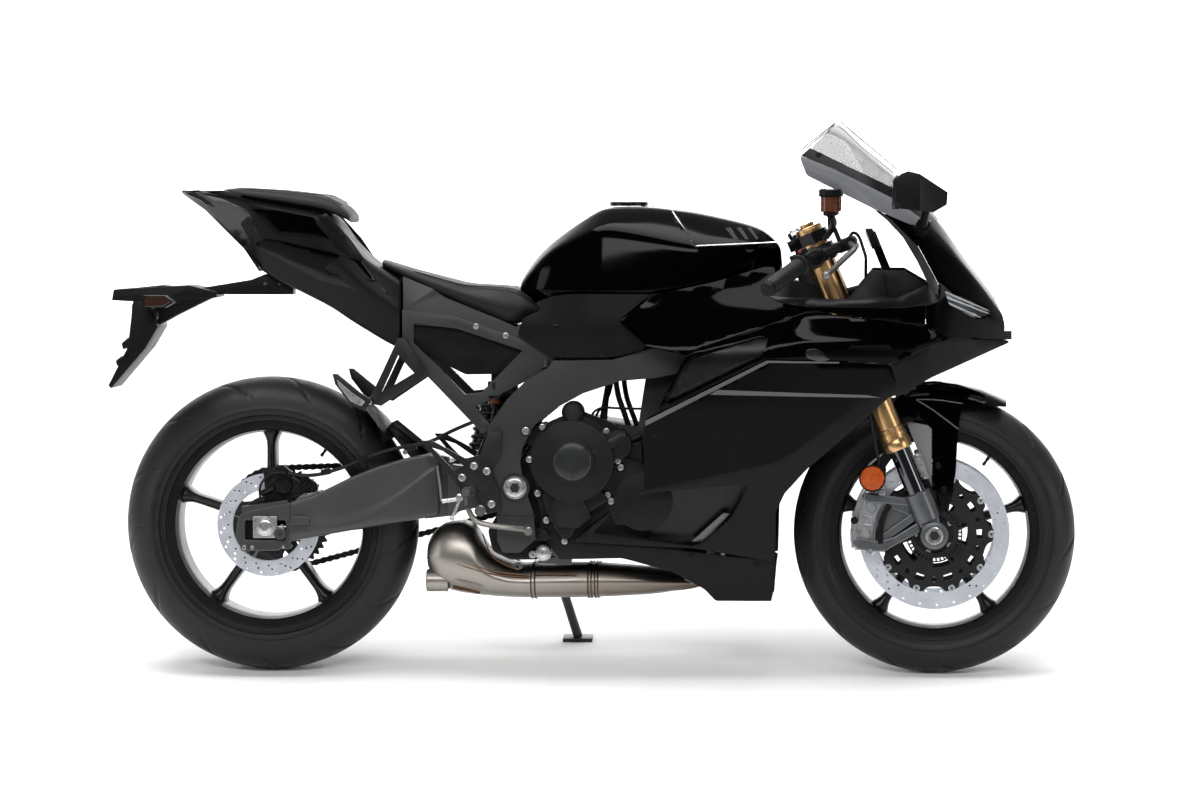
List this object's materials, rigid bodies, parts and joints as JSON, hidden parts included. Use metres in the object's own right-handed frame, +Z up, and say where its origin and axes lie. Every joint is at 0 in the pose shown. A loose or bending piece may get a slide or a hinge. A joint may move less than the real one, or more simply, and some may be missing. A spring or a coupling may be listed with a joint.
{
  "type": "sport motorcycle",
  "caption": "Faired sport motorcycle leaning on its side stand, with free wheels, steering, folding stand and hinged fuel cap.",
  "frame": {"origin": "on the floor under the middle of the leaning bike's bounding box", "axes": "+X forward along the wheelbase, +Y to the rider's left, +Z up"},
  "size_m": [2.0649, 0.7435, 1.1636],
  "materials": {
    "tyre_rubber": "matt rubber",
    "wheel_paint": "satin black",
    "disc_steel": "ground steel",
    "sprocket_steel": "dark steel",
    "gold_anodised": "gold anodised",
    "cast_alloy": "cast",
    "axle_steel": "plated steel",
    "black_alloy": "black anodised",
    "switch_plastic": "moulded",
    "gloss_black": "gloss black lacquer",
    "hose_rubber": "matt rubber",
    "black_steel": "satin black",
    "cap_alloy": "black anodised",
    "frame_paint": "satin black",
    "engine_alloy": "satin black casting",
    "cover_paint": "satin black casting",
    "chain_steel": "oiled steel",
    "caliper_black": "satin black",
    "matt_plastic": "moulded",
    "brushed_steel": "brushed and heat tinted",
    "radiator_alloy": "black fins",
    "clear_screen": "clear polycarbonate",
    "lamp_glass": "clear lens",
    "seat_vinyl": "grained vinyl",
    "satin_black": "satin black",
    "lamp_red": "dark red lens",
    "rest_alloy": "black and bare alloy"
  },
  "bodies": {
    "chassis": {"belly_pan": "matt_plastic", "chassis_shafts": "axle_steel", "cockpit": "matt_plastic", "drive_chain": "chain_steel", "engine_block": "engine_alloy", "engine_covers": "cover_paint", "exhaust": "brushed_steel", "fairing_left": "gloss_black", "fairing_right": "gloss_black", "footrests": "rest_alloy", "fuel_tank": "gloss_black", "headlamp": "lamp_glass", "main_frame": "frame_paint", "mirrors": "matt_plastic", "pillion_seat": "seat_vinyl", "plate_bracket": "matt_plastic", "radiator": "radiator_alloy", "rear_caliper": "caliper_black", "rear_hugger": "matt_plastic", "rider_seat": "seat_vinyl", "shock_absorber": "black_steel", "subframe": "frame_paint", "swingarm": "frame_paint", "tail_cowl": "satin_black", "tail_lamp": "lamp_red", "tank_covers": "matt_plastic", "upper_cowl": "gloss_black", "windscreen": "clear_screen"},
    "steering": {"fork_outers": "gold_anodised", "fork_sliders": "cast_alloy", "front_axle": "axle_steel", "triple_clamps": "black_alloy", "clip_on_bars": "black_alloy", "bar_controls": "switch_plastic", "front_calipers": "cast_alloy", "front_fender": "gloss_black", "brake_hoses": "hose_rubber"},
    "front_wheel": {"front_tyre": "tyre_rubber", "front_rim": "wheel_paint", "front_discs": "disc_steel"},
    "rear_wheel": {"rear_tyre": "tyre_rubber", "rear_rim": "wheel_paint", "rear_disc": "disc_steel", "rear_sprocket": "sprocket_steel"},
    "side_stand": {"side_stand": "black_steel"},
    "fuel_cap": {"fuel_cap": "cap_alloy"}
  },
  "joints": [
    {"name": "steering", "type": "hinge", "parent": "chassis", "child": "steering", "pos_m": [0.52145, -0.03204, 0.72403], "axis": [-0.3843, 0.1603, 0.9092], "range_deg": [-22, 22]},
    {"name": "front_wheel_spin", "type": "hinge", "parent": "steering", "child": "front_wheel", "pos_m": [0.733, -0.10741, 0.29659], "axis": [0, 0.9848, -0.1736], "continuous": true},
    {"name": "rear_wheel_spin", "type": "hinge", "parent": "chassis", "child": "rear_wheel", "pos_m": [-0.687, -0.1048, 0.31136], "axis": [0, 0.9848, -0.1736], "continuous": true},
    {"name": "side_stand_fold", "type": "hinge", "parent": "chassis", "child": "side_stand", "pos_m": [-0.095, 0.03639, 0.20219], "axis": [0.1001, 0.9502, 0.2952], "range_deg": [0, 107.5]},
    {"name": "fuel_cap_hinge", "type": "hinge", "parent": "chassis", "child": "fuel_cap", "pos_m": [0.132, 0.01293, 0.97906], "axis": [0, 0.9848, -0.1736], "range_deg": [0, 100]}
  ]
}
